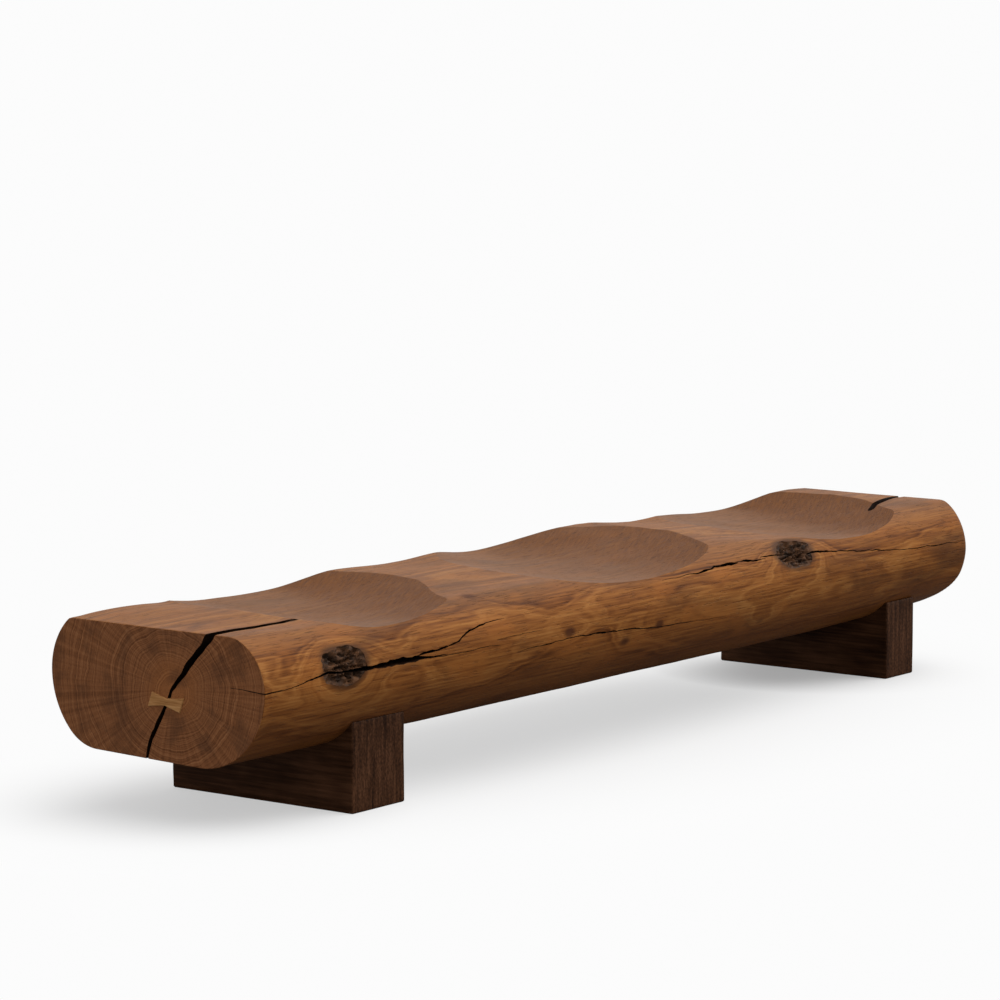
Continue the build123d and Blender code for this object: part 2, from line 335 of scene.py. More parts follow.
def put_in_scene(name, points, faces, marked=None):
    """A mesh object at the origin, whose faces carry every mark as 0, or as 1 for the marked one."""
    mesh = bpy.data.meshes.new(name)
    mesh.from_pydata(points.tolist(), [], faces)
    for mark in MARKS:
        layer = mesh.attributes.new(mark, "FLOAT", "FACE")
        layer.data.foreach_set("value", np.full(len(mesh.polygons), float(mark == marked), np.float32))
    piece = bpy.data.objects.new(name, mesh)
    bpy.context.scene.collection.objects.link(piece)
    return piece


def closed_tube(name, grid, marked=None):
    """A closed mesh from a (rows, columns, 3) array, with its faces outwards."""
    rows, columns = grid.shape[:2]
    points = grid.reshape(-1, 3)
    quads = ring_faces(rows, columns)
    first, last = list(range(columns)), list(range((rows - 1) * columns, rows * columns))
    if enclosed_volume(points - points.mean(0), quads) < 0:
        return put_in_scene(name, points, quads[:, ::-1].tolist() + [first, last[::-1]], marked)
    return put_in_scene(name, points, quads.tolist() + [first[::-1], last], marked)


# %% [markdown]
# ## The outline of the log
# Hewers leave a log flat below and along the top, with bulging flanks. Each corner is a flat arc that
# runs on into a tight one, built as in the solid, because two tangent arcs look drawn by hand
# and their points come from a formula.

# %% Outline from arcs
ARC_POINTS = 120


def arc(centre, start, end):
    """The shorter arc about centre: centre + radius (cos a, sin a), with a evenly spaced."""
    first = np.arctan2(*(start - centre)[::-1])
    last = np.arctan2(*(end - centre)[::-1])
    turn = (last - first + np.pi) % (2 * np.pi) - np.pi
    angles = first + turn * np.linspace(0, 1, ARC_POINTS)
    return centre + np.linalg.norm(start - centre) * np.stack([np.cos(angles), np.sin(angles)], -1)


def rounded_corner(flat_end, corner, tight_end, tight_radius):
    """Two tangent arcs, whose centres stand apart by the difference of their radii."""
    flat_end, corner, tight_end = (np.array(point, float) for point in (flat_end, corner, tight_end))
    leaving = (corner - flat_end) / np.linalg.norm(corner - flat_end)
    arriving = (tight_end - corner) / np.linalg.norm(tight_end - corner)
    side = np.sign(leaving[0] * arriving[1] - leaving[1] * arriving[0])
    inward = side * np.array([-leaving[1], leaving[0]])
    tight_centre = tight_end + side * np.array([-arriving[1], arriving[0]]) * tight_radius
    gap = flat_end - tight_centre
    flat_radius = (tight_radius**2 - gap @ gap) / (2 * (gap @ inward + tight_radius))
    flat_centre = flat_end + inward * flat_radius
    towards = (tight_centre - flat_centre) / np.linalg.norm(tight_centre - flat_centre)
    join = flat_centre + towards * flat_radius
    return np.concatenate([arc(flat_centre, flat_end, join), arc(tight_centre, join, tight_end)[1:]])


def length_along(points):
    """Distance run along a line, measured in its first two coordinates."""
    return np.concatenate([[0], np.cumsum(np.linalg.norm(np.diff(points[:, :2], axis=0), axis=1))])


def evenly(points, count):
    """The same line with count points at equal steps along it."""
    points = np.asarray(points, float)
    along = length_along(points)
    steps = np.linspace(0, along[-1], count)
    return np.stack([np.interp(steps, along, column) for column in points.T], -1)


# %% The log's outline
COLUMNS = 170
SIDE_FRONT, SIDE_BACK = (FRONT, WIDEST), (BACK, WIDEST)
LOW_FRONT = (FRONT + 180 * MM, UNDERSIDE)
LOW_BACK = (BACK - 126 * MM, UNDERSIDE + 8 * MM)
TOP_BACK = (BACK - 109 * MM, HIGHEST + 3 * MM)
NEAR_SHOULDER, FAR_SHOULDER = 118 * MM, 134 * MM
FRONT_FLANK, BACK_FLANK, BACK_SHOULDER = 109 * MM, 108 * MM, 77 * MM
front_flank = rounded_corner(LOW_FRONT, (FRONT, UNDERSIDE - 5 * MM), SIDE_FRONT, FRONT_FLANK)


def log_outline(shoulder_radius):
    """The closed outline (y, z) from the underside up the front, over the top and down the back."""
    above = HIGHEST + 3 * MM
    shoulder = rounded_corner(TOP_BACK, (FRONT, above), SIDE_FRONT, shoulder_radius)[::-1]
    back_shoulder = rounded_corner(SIDE_BACK, (BACK, above), TOP_BACK, BACK_SHOULDER)[::-1]
    back_flank = rounded_corner(SIDE_BACK, (BACK, UNDERSIDE + 12 * MM), LOW_BACK, BACK_FLANK)
    line = np.concatenate([front_flank, shoulder[1:], back_shoulder[1:], back_flank[1:], [LOW_FRONT]])
    return evenly(line, COLUMNS + 1)[:-1]


near_outline = log_outline(NEAR_SHOULDER)
far_outline = log_outline(FAR_SHOULDER)
COLUMN_STEP = np.linalg.norm(near_outline[3] - near_outline[2])
WIDEST_COLUMN = length_along(front_flank)[-1] / COLUMN_STEP
print("outline:", COLUMNS, "points", round(COLUMN_STEP * 1000, 1), "mm apart")

# %% [markdown]
# ## The skin of the log
# The outline is carried along the log. On the way its top is cut to the hewn wave, and its ends draw in
# where they are worn round. A loft through a few sections would overshoot between them.
# Here each row is worked out by itself, so nothing can.

# %% Hewn top
SEATS_X = NEAR_END + np.array([466, 1402, 2362]) * MM
wave_x = np.array([
    NEAR_END, SEATS_X[0], (SEATS_X[0] + SEATS_X[1]) / 2, SEATS_X[1],
    SEATS_X[1] + 410 * MM, SEATS_X[2] - 275 * MM, FAR_END - 150 * MM, FAR_END,
])
wave_z = UNDERSIDE + np.array([282, 291, 289, 291, 299.5, 285, 300, 292]) * MM


def curve_through(x, knots, values):
    """A natural cubic spline: the second derivatives solve a banded set of equations."""
    step = np.diff(knots)
    inner = np.arange(1, len(knots) - 1)
    matrix, right = np.eye(len(knots)), np.zeros(len(knots))
    matrix[inner, inner - 1] = step[:-1]
    matrix[inner, inner] = 2 * (step[:-1] + step[1:])
    matrix[inner, inner + 1] = step[1:]
    right[inner] = 6 * np.diff(np.diff(values) / step)
    bend = np.linalg.solve(matrix, right)
    k = np.clip(np.searchsorted(knots, x) - 1, 0, len(knots) - 2)
    a, b, h = knots[k + 1] - x, x - knots[k], step[k]
    curve = (bend[k] * a**3 + bend[k + 1] * b**3) / (6 * h)
    return curve + (values[k] / h - bend[k] * h / 6) * a + (values[k + 1] / h - bend[k + 1] * h / 6) * b


print("top: crests and hollows", np.round((wave_z - UNDERSIDE) * 1000, 1), "mm above the underside")

# %% [markdown]
# ## The back edge
# The far edge of the top was left as the tree had it, so it rises and falls by a few millimetres.
# A random wave would do for an unseen edge, but this one is the bench's skyline, so a spline goes
# through chosen stations.

# %% The back edge
BACK_EDGE_REACH = 190 * MM  # the straying fades out over this width towards the middle
BACK_EDGE = np.array([
    # distance from the near end, rise
    (0, 0.5), (110, 4.3), (240, -1.7), (285, -4.5), (335, 0), (400, 4), (485, 4.5), (580, 0), (690, -4),
    (850, 1), (1050, -4.3), (1160, -1), (1250, 2.4), (1400, -5), (1460, -4.6), (1580, 0.7), (1710, 6.6),
    (1850, 3.6), (1910, 0.5), (2110, -2.8), (2280, 3), (2380, 0), (2550, -5.6), (2700, 0), (2859, 1),
]) * MM


def back_rise(x, y):
    """How far the back edge strays up at a station, fading out towards the middle of the log."""
    inside = np.clip(x, NEAR_END, FAR_END) - NEAR_END
    return curve_through(inside, *BACK_EDGE.T) * smooth_step(y / BACK_EDGE_REACH)


strays = np.round(BACK_EDGE[:, 1] * 1000, 1)
print("back edge strays", strays.min(), "to", strays.max(), "mm")

# %% [markdown]
# ## From outline to skin
# Each row is the outline at its station, with these hewn features worked in: ends that draw in,
# an underside that lifts towards the far end, and a top that falls away a little at the front.

# %% Skin
NEAR_EASING = 2 * MM
FAR_SIDE, FAR_TOP, FAR_LOW = 38 * MM, 7 * MM, 150 * MM
FAR_LIFT, LIFT_RUN = 15 * MM, 600 * MM
TOP_ROUNDING, LOW_ROUNDING = 5 * MM, 12 * MM
HOLLOW_UNDERSIDE = 2.5 * MM
HOLLOW_START, HOLLOW_RUN = 0.25, 0.35  # from the near end
FRONT_FALL, FALL_WIDTH = 10 * MM, 170 * MM
FALL_NEAR_RUN, FALL_FAR_RUN = 0.25, 0.3  # it grows over these lengths from the two ends
TURN_START, TURN_RUN = 0.55, 0.45  # shares of the length, for the turn from near to far outline
RISE_BLEND = 90 * MM


def drawn_in(distance, radius):
    """How far a rounded arris has drawn in at a distance from the end: r - sqrt(r^2 - (r - d)^2)."""
    inside = np.clip(radius - distance, 0, radius)
    return radius - np.sqrt(radius**2 - inside**2)


def lower_of(a, b, blend):
    """The lower of two heights, rounded over where they cross within blend."""
    near = np.clip(0.5 + (b - a) / (2 * blend), 0, 1)
    return b + (a - b) * near - blend * near * (1 - near)


def log_skin(x):
    """Points of the skin: stations x are the rows, and the outline's points are the columns."""
    x = np.asarray(x)[:, None]
    from_near, from_far = x - NEAR_END, FAR_END - x
    far_share = smooth_step((from_near / (FAR_END - NEAR_END) - TURN_START) / TURN_RUN)[..., None]
    section = near_outline * (1 - far_share) + far_outline * far_share
    y, z = section[..., 0], section[..., 1]
    easing = drawn_in(from_near, NEAR_EASING)
    y = y * (1 - (easing + drawn_in(from_far, FAR_SIDE) * (y / BACK) ** 4) / BACK)
    lift = FAR_LIFT * np.clip(1 - from_far / LIFT_RUN, 0, 1)
    lift = lift + HOLLOW_UNDERSIDE * smooth_step((from_near - HOLLOW_START) / HOLLOW_RUN)
    z = np.where(z < WIDEST, z + (WIDEST - z) * (lift + easing) / (WIDEST - UNDERSIDE), z)
    low = UNDERSIDE + lift - LOW_ROUNDING + drawn_in(from_far, FAR_LOW) * (1 + LOW_ROUNDING / FAR_LOW)
    z = -lower_of(-z, -low, LOW_ROUNDING)
    top = curve_through(x, wave_x, wave_z) - easing - drawn_in(from_far, FAR_TOP)
    fall = smooth_step(-y / FALL_WIDTH) * smooth_step(from_near / FALL_NEAR_RUN)
    top = top - FRONT_FALL * (fall * smooth_step(from_far / FALL_FAR_RUN))
    z = lower_of(z, top, TOP_ROUNDING)
    z = np.minimum(z + back_rise(x, y) * smooth_step((z - WIDEST) / RISE_BLEND), HIGHEST)
    return np.stack([x + 0 * y, y, z], -1)


def skin_normals(points):
    """Outward normals of a skin grid: the cross product of its differences along both ways."""
    along = np.gradient(points, axis=0)
    around = np.roll(points, -1, axis=1) - np.roll(points, 1, axis=1)
    normal = np.cross(around, along)
    normal /= np.linalg.norm(normal, axis=-1, keepdims=True) + 1e-12
    outward = (points - points.mean(axis=(0, 1))) * [0, 1, 1]
    return normal * np.sign((normal * outward).sum(-1).mean())


def stations(spacing):
    """Stations that crowd on the two worn ends and keep an even spacing between them."""
    near = NEAR_END + NEAR_EASING * (1 - np.cos(np.linspace(0, np.pi / 2, 6)))
    far = FAR_END - FAR_LOW * (1 - np.cos(np.linspace(0, np.pi / 2, 30)))[::-1]
    between = np.linspace(near[-1], far[0], int((far[0] - near[-1]) / spacing))
    return np.concatenate([near, between[1:-1], far])


def uneven(points, depth):
    """Sinks the skin here and there by up to depth, as the drawknife and the years leave it."""
    broad = waves(points, (0.45, 0.15, 0.15), seed=11)
    small = waves(points, (0.11, 0.05, 0.05), seed=12)
    along = points[..., 0]
    ends = smooth_step((along - NEAR_END) / 0.03) * smooth_step((FAR_END - along) / 0.03)
    sink = depth * (0.5 + 0.4 * np.tanh(broad) + 0.1 * np.tanh(small)) * ends
    return points - skin_normals(points) * sink[..., None]


ROW_SPACING = 8.5 * MM
HEWING_DEPTH = 1.6 * MM
log_x = stations(ROW_SPACING)
skin = uneven(log_skin(log_x), HEWING_DEPTH)
normals = skin_normals(skin)
bench_log = closed_tube("hewn_log", skin)
print("skin:", skin.shape[0], "rows,", len(bench_log.data.polygons), "faces")

# %% [markdown]
# ## Cutting
# The seats, housings, checks and cracks are cuts in the real log. A cut could be pressed into the grid
# by moving its points, but then its edge is only as sharp as the grid is fine.
# A Boolean with a closed cutter gives the crisp rim that a gouge leaves.
# The cutter's faces keep their marks, so a finish can tell a seat from the outer skin.

# %% Boolean cut
OUTSIDE = 10 * MM  # a cutter starts this far outside the wood


def cut(target, cutter):
    """Takes the cutter away from the target for good, and deletes the cutter."""
    step = target.modifiers.new("cut", "BOOLEAN")
    step.operation = "DIFFERENCE"
    step.solver = "MANIFOLD"
    step.object = cutter
    graph = bpy.context.evaluated_depsgraph_get()
    result = bpy.data.meshes.new_from_object(target.evaluated_get(graph))
    target.modifiers.clear()
    old, spent = target.data, cutter.data
    target.data = result
    bpy.data.objects.remove(cutter)
    bpy.data.meshes.remove(old)
    bpy.data.meshes.remove(spent)


# %% [markdown]
# ## Three scooped seats
# Each seat is two arcs of different reach from end to end, swung gently from front to back,
# and its far wall comes nearer towards the front, as a seat worked from the front has it.
# Its cutter is that bowl with a lid above the log. The bowl keeps the faint hollows of the gouge.

# %% Seats
SEAT_FLOOR = UNDERSIDE + 248 * MM
SEAT_DEPTH = 41 * MM
SEAT_CROSS = 3.33
NARROWER_FRONT = 0.26  # share by which the far reach shrinks at the front
NARROW_FROM, NARROW_RUN = 160 * MM, 420 * MM
BOWL_SPARE = 1.3  # the bowl runs on past its rim by this factor
BOWL_STEP = 0.009
LID = HIGHEST + 120 * MM
SEAT_SHAPES = (
    # reach towards the near end, reach towards the far end, lowest line, turn in degrees
    (205 * MM, 429 * MM, -26 * MM, -3.2),
    (341 * MM, 503 * MM, -210 * MM, -0.7),
    (332 * MM, 333 * MM, -111 * MM, -7.4),
)


def bowl_rise(dx, dy, near_reach, far_reach):
    """Rise above the seat's floor: an arc along the log, and one of the big radius across it."""
    reach = np.where(dx < 0, near_reach, far_reach)
    radius = (reach**2 + SEAT_DEPTH**2) / (2 * SEAT_DEPTH)
    swing = SEAT_CROSS - (radius - np.sqrt(radius**2 - dx**2))
    return SEAT_CROSS - np.sqrt(swing**2 - dy**2)


def seat_cutter(seat_x, near_reach, far_reach, low_line, turn, seed):
    """The bowl on a grid of dx by dy, turned about the vertical, with two more columns as its lid."""
    near_run, far_run = near_reach * BOWL_SPARE, far_reach * BOWL_SPARE
    dx = np.concatenate([
        np.linspace(-near_run, 0, int(near_run / BOWL_STEP))[:-1],
        np.linspace(0, far_run, int(far_run / BOWL_STEP)),
    ])[:, None]
    dy = np.linspace(-0.65, 0.65, 120)[None, :]
    narrowing = 1 - NARROWER_FRONT * smooth_step((NARROW_FROM - low_line - dy) / NARROW_RUN)
    rise = bowl_rise(dx, dy, near_reach, far_reach * narrowing)
    cos, sin = math.cos(math.radians(turn)), math.sin(math.radians(turn))
    x = seat_x + dx * cos - dy * sin
    y = low_line + dx * sin + dy * cos
    bowl = np.stack([x, y, SEAT_FLOOR + rise + back_rise(x, y)], -1)
    bowl[..., 2] += 0.3 * MM * waves(bowl, (0.16, 0.11, 1), seed)
    lid = bowl[:, [-1, 0]].copy()
    lid[..., 2] = LID
    return closed_tube("seat_cutter", np.concatenate([bowl, lid], 1), "seat")


for number, (seat_x, shape) in enumerate(zip(SEATS_X, SEAT_SHAPES)):
    cut(bench_log, seat_cutter(seat_x, *shape, seed=30 + number))
print("after the seats:", len(bench_log.data.polygons), "faces")

# %% [markdown]
# ## Housings and pilot holes
# These joints are hidden once the bench stands together, but a log without them would be a dummy.
# They are plain prisms, so each is a tube of two rows.

# %% Prism cutters
CLEARANCE = 0.3 * MM
PILOT_RADIUS = 6.05 * MM
OVERSHOOT = 0.1  # a housing's cutter runs on past both flanks


def prism(section, start, end, axis):
    """A tube of two rows: the section's two coordinates, set at start and at end along the axis."""
    return np.stack([np.insert(np.array(section), axis, place, axis=1) for place in (start, end)])


def circle(centre, radius, count):
    """Points of a circle: centre + radius (cos a, sin a)."""
    angle = np.linspace(0, 2 * np.pi, count, endpoint=False)
    return np.array(centre) + radius * np.stack([np.cos(angle), np.sin(angle)], -1)


def axis_of(name):
    """The middle (x, y) of a round CAD node that stands upright."""
    low, high = node_box(name)
    return (low + high)[:2] / 2


for block in BLOCKS:
    low, high = node_box(block)
    x0, x1 = low[0] - CLEARANCE, high[0] + CLEARANCE
    section = [(x0, 0), (x1, 0), (x1, high[2]), (x0, high[2])]
    housing = prism(section, FRONT - OVERSHOOT, BACK + OVERSHOOT, 1)
    cut(bench_log, closed_tube("housing_cutter", housing))
    for side in SIDES:
        screw = f"{block}_{side}_lag_screw"
        hole = circle(axis_of(screw), PILOT_RADIUS, 20)
        pilot = prism(hole, high[2] - 1 * MM, node_box(screw)[1][2], 2)
        cut(bench_log, closed_tube("pilot_cutter", pilot, "cleft"))
print("after the joints:", len(bench_log.data.polygons), "faces")

# %% [markdown] ## Checks in the ends A log that dries from its ends splits there first. The near
# check runs down the whole face in a torn zigzag and back along the top. Its line on the face
# shrinks towards its tip, where only the top is open.

# %% Checks
NEAR_CHECK = np.array([
    # y, height above the underside, width
    (-160, 298, 24), (-149, 277, 21), (-118, 241, 14), (-96, 220, 15), (-62, 178, 12), (-42, 154, 8),
    (-35, 135, 8), (-11, 94, 10), (15, 48, 10), (31, -5, 8),
]) * MM
NEAR_CHECK_TIP = np.array([(-152, 312, 15), (-150, 264, 12), (-144, 242, 1)]) * MM
FAR_CHECK = np.array([
    (-84, 312, 20), (-80, 264, 18), (-64, 228, 10), (-54, 192, 5), (-36, 147, 1),
]) * MM
FAR_CHECK_TIP = np.array([(-138, 312, 20), (-135, 264, 17), (-128, 228, 1)]) * MM
# The long check of the front turns the corner and runs on a little way across the near face.
FACE_CRACK = np.array([(-198, 177, 0.7), (-232, 176, 1.6), (-259, 173, 2.2), (-300, 173, 3)]) * MM
FACE_CRACK_TIP = np.array([(-285, 175, 0.4), (-300, 174, 0.8)]) * MM
CHECKS = (
    # line on the face, line at the tip, where it starts and ends along the log, seed
    (NEAR_CHECK, NEAR_CHECK_TIP, NEAR_END - OUTSIDE, NEAR_END + 312 * MM, 41),
    (FAR_CHECK, FAR_CHECK_TIP, FAR_END + OUTSIDE, FAR_END - 252 * MM, 45),
    (FACE_CRACK, FACE_CRACK_TIP, NEAR_END - OUTSIDE, NEAR_END + 60 * MM, 49),
)
RAGGED = 0.22  # how far a check's width strays, by share
THINNEST = 0.2 * MM


def check_cutter(face_line, tip_line, outside, tip, seed):
    """A slab whose section follows a torn line, and moves from the face's line to the tip's by t^1.4.

    Its width goes with sqrt(1 - (0.995 t)^24), so it stays wide almost up to a blunt tip.
    """
    count, rows = 60, 48
    face_line, tip_line = evenly(face_line, count), evenly(tip_line, count)
    along = length_along(face_line)
    t = np.linspace(0, 1, rows)[:, None, None]
    line = face_line * (1 - t**1.4) + tip_line * t**1.4
    line[..., 1] += UNDERSIDE
    forward = np.gradient(line[..., :2], axis=1)
    across = np.stack([-forward[..., 1], forward[..., 0]], -1)
    across /= np.linalg.norm(across, axis=-1, keepdims=True)
    half = line[..., 2:] / 2 * np.sqrt(1 - (0.995 * t) ** 24)
    x = outside + (tip - outside) * t[..., 0] + 0 * line[..., 0]
    places = np.stack([x, line[..., 0], line[..., 1]], -1)
    drift = 0.6 * MM * waves(places, (0.07, 0.05, 0.05), seed)[..., None]
    left_torn = 1 + RAGGED * torn(along, 14 * MM, seed)[:, None]
    right_torn = 1 + RAGGED * torn(along, 11 * MM, seed + 1)[:, None]
    left = line[..., :2] + across * np.maximum(half * left_torn + drift, THINNEST)
    right = line[..., :2] - across * np.maximum(half * right_torn - drift, THINNEST)
    edges = np.concatenate([left, right[:, ::-1]], 1)
    grid = np.concatenate([np.concatenate([x, x], 1)[..., None], edges], -1)
    return closed_tube("check_cutter", grid, "cleft")


for check in CHECKS:
    cut(bench_log, check_cutter(*check))
print("after the checks:", len(bench_log.data.polygons), "faces")

# %% [markdown]
# ## The butterfly key
# The key is a thin bow tie let into the end grain across the check, and stands a little proud.
# Its section is a polygon with softened bevels, carried through the thickness, and its recess is
# the same polygon a little larger.

# %% Key
KEY_CLEARANCE = 0.15 * MM
key_low, key_high = node_box("butterfly_key")
KEY_MIDDLE = (key_low + key_high)[1:] / 2
KEY_LEAN = 0.30  # the key was cut out of square: its ends lean by this slope
KEY_TILT = math.radians(4)
HALF_LENGTH, HALF_END, HALF_WAIST = 44.5 * MM, 16.5 * MM, 8.0 * MM


def subdivided(corners, parts):
    """The closed polygon with each of its edges cut into so many equal parts."""
    t = np.linspace(0, 1, parts, endpoint=False)[None, :, None]
    corners = np.asarray(corners)[:, None]
    return (corners * (1 - t) + np.roll(corners, -1, axis=0) * t).reshape(-1, 2)


def key_outline(grow):
    """The bow tie's six corners (y, z): moved out by grow, leaned out of square and then tilted."""
    half_length, half_end, half_waist = HALF_LENGTH + grow, HALF_END + grow, HALF_WAIST + grow
    corners = np.array([
        (half_length, -half_end), (half_length, half_end), (0, half_waist),
        (-half_length, half_end), (-half_length, -half_end), (0, -half_waist),
    ])
    corners[:, 0] -= KEY_LEAN * corners[:, 1]
    cos, sin = math.cos(KEY_TILT), math.sin(KEY_TILT)
    return KEY_MIDDLE + subdivided(corners @ np.array([[cos, sin], [-sin, cos]]), 6)


recess = prism(key_outline(KEY_CLEARANCE), NEAR_END - OUTSIDE, key_high[0] + KEY_CLEARANCE, 0)
cut(bench_log, closed_tube("recess_cutter", recess, "cleft"))
key_front = key_low[0]
key_rows = (
    # depth from the front face, inset of the bevel
    (0, 2.0 * MM), (0.5 * MM, 1.0 * MM), (1.2 * MM, 0.35 * MM), (2.2 * MM, 0),
    (key_high[0] - key_front, 0),
)
key_rings = [np.insert(key_outline(-inset), 0, key_front + depth, axis=1) for depth, inset in key_rows]
key = closed_tube("bow_tie_key", np.stack(key_rings))
print("key:", np.round(np.ptp(key_outline(0), axis=0) * 1000, 1), "mm")

# %% [markdown]
# ## Surface cracks
# Along the front the wood has opened in long, broken lines. Each is a blade with a V section that
# follows a route on the skin. The route gives a station, a girth up from the widest line and a width,
# so it lies on the real surface whatever that surface does.


# %% Places on the skin
def skin_at(x, girth):
    """Point and sideways normal of the skin at a station and a girth, between four grid points."""
    inside = np.clip(x, NEAR_END, FAR_END)
    row = np.clip(np.interp(inside, log_x, np.arange(len(log_x))), 0, len(log_x) - 1.001)
    column = WIDEST_COLUMN + girth / COLUMN_STEP
    i, j = row.astype(int), np.floor(column).astype(int)
    u, v = (row - i)[..., None], (column - j)[..., None]
    j, k = j % COLUMNS, (j + 1) % COLUMNS

    def between(grid):
        lower = grid[i, j] * (1 - v) + grid[i, k] * v
        upper = grid[i + 1, j] * (1 - v) + grid[i + 1, k] * v
        return lower * (1 - u) + upper * u

    point = between(skin)
    point[..., 0] += x - inside
    normal = between(normals) * [0, 1, 1]
    return point, normal / np.linalg.norm(normal, axis=-1, keepdims=True)


# %% Cracks
CRACKS = (
    # each route: distance from the near end, girth up from the widest line, width
    [(-8, 2, 1.6), (49, 3, 1.6), (114, 9, 1.8), (174, 17, 4), (215, 21, 5), (262, 16, 7), (329, 14, 9),
     (378, 14, 10), (448, 14, 14), (515, 11, 10), (560, 9, 4), (613, 8, 0.8)],
    [(498, 17, 1), (533, 20, 6), (587, 22, 5), (613, 24, 3.5)],
    [(608, 25, 2.5), (654, 31, 4), (671, 40, 4), (699, 50, 4.5), (768, 59, 2.6), (834, 62, 0.8)],
    [(560, 7, 1), (672, 6, 2), (799, 5, 0.7)],
    [(788, 16, 0.6), (868, 19, 1.3), (958, 20, 0.6)],
    [(868, -20, 0.7), (987, -16, 2.6), (1083, -14, 2.2), (1181, -17, 4), (1238, -19, 3.2),
     (1338, -26, 2.6), (1428, -33, 2.4), (1568, -38, 1.4), (1706, -43, 0.6)],
    [(1463, 77, 0.7), (1578, 77, 1.8), (1631, 78, 4.5), (1690, 84, 7), (1758, 84, 8), (1790, 84, 2)],
    [(1780, 87, 1), (1828, 84, 6.5), (1872, 79, 3.5), (1908, 80, 1)],
    [(1890, 86, 1), (1928, 85, 4), (1988, 83, 4)],
    [(2088, 74, 5), (2143, 70, 6), (2208, 63, 3), (2281, 55, 2.6), (2416, 43, 3), (2508, 33, 1.6),
     (2655, 27, 2.4), (2755, 25, 1.4), (2830, 22, 0.7)],
)
CRACK_STEP = 4 * MM
SHALLOWEST, DEEPEST = 8 * MM, 42 * MM
LIP = 5 * MM  # a blade stands this far out of the skin
BLADE = (
    # sideways in widths; height out of the skin in metres where positive, else in depths
    (-0.6, LIP), (-0.5, 0), (-0.22, -0.5), (0, -1), (0.22, -0.5), (0.5, 0), (0.6, LIP),
)


def crack_cutter(route, seed):
    """A blade along the route: V sections across its way on the skin, five widths deep and torn."""
    route = np.array(route) * MM
    route = evenly(route, int(length_along(route)[-1] / CRACK_STEP) + 2)
    along = length_along(route)
    x, girth, width = route.T
    girth = girth + (1.6 * torn(along, 24 * MM, seed) + 0.5 * torn(along, 7 * MM, seed + 1)) * MM
    width = width * (1 + 0.35 * torn(along, 12 * MM, seed + 2))
    point, normal = skin_at(NEAR_END + x, girth)
    forward = np.gradient(point, axis=0)
    across = np.cross(forward, normal)
    across /= np.linalg.norm(across, axis=-1, keepdims=True)
    depth = np.clip(5 * width, SHALLOWEST, DEEPEST)
    lean = 0.12 * depth * torn(along, 60 * MM, seed + 3)
    columns = []
    for sideways, height in BLADE:
        sink = np.where(height > 0, height, height * depth)
        shift = sideways * width + lean * min(height, 0)
        columns.append(point + across * shift[:, None] + normal * sink[:, None])
    return closed_tube("crack_cutter", np.stack(columns, 1), "cleft")


for number, route in enumerate(CRACKS):
    cut(bench_log, crack_cutter(route, seed=60 + 5 * number))
print("after the cracks:", len(bench_log.data.polygons), "faces")

# %% [markdown]
# ## Knots
# A dead knot is harder than the wood round it, dries black and breaks up. Its hollow is a disc of
# rings and spokes laid on the skin, sunk by a few millimetres with a broken floor.

# %% Knot hollows
KNOTS = np.array([
    # distance from the near end, girth up from the widest line, half length, half girth, depth
    (262, 28, 76, 43, 7),
    (2037, 80, 75, 41, 7),
]) * MM


def knot_cutter(station, girth, half_length, half_girth, depth, seed):
    """Rings from the middle of the floor out to a torn rim, up past the skin and back over the top."""
    spokes, rings = 84, 22
    angle = np.linspace(0, 2 * np.pi, spokes, endpoint=False)
    rim = 1 + 0.10 * torn(angle * 10, 3.5, seed) + 0.05 * torn(angle * 10, 1.4, seed + 1)
    rim[-3:] = np.linspace(rim[-4], rim[0], 5)[1:-1]
    share = np.concatenate([np.linspace(0.03, 1, rings), [1.0, 0.5, 0.03]])[:, None]
    lifted = np.concatenate([np.zeros(rings), [6 * MM, 8 * MM, 8 * MM]])[:, None]
    x = NEAR_END + station + half_length * share * rim * np.cos(angle)
    point, normal = skin_at(x, girth + half_girth * share * rim * np.sin(angle))
    broken = 1 + 0.45 * waves(point, (0.020, 0.014, 0.014), seed)
    broken += 0.25 * waves(point, (0.008, 0.007, 0.007), seed + 1)
    spoke = np.stack([np.cos(angle), np.sin(angle), 0 * angle], -1)
    fissures = 1 + 1.1 * np.maximum(waves(spoke, (0.5, 0.5, 1), seed + 2), 0) * np.sqrt(share)
    sink = depth * (0.12 + 0.88 * (1 - share**4)) * np.clip(broken, 0.15, 2) * fissures
    height = np.where(lifted > 0, lifted, -sink)
    return closed_tube("knot_cutter", point + normal * height[..., None], "knot")


for number, knot in enumerate(KNOTS):
    cut(bench_log, knot_cutter(*knot, seed=130 + 7 * number))
print("after the knots:", len(bench_log.data.polygons), "faces")

# %% [markdown]
# ## Blocks
# The blocks are plain sawn timber with eased edges. A Bevel modifier on a box would do, but then
# every face is dead flat. A fine tube of rounded rectangles can be let in here and there
# by up to 0.7 millimetres. The counterbores underneath take the screw heads.

# %% Blocks
BLOCK_EASING = 4 * MM
COUNTERBORE_RADIUS = 20 * MM
COUNTERBORE_DEPTH = 88 * MM
SHANK_HOLE_RADIUS = 6.5 * MM


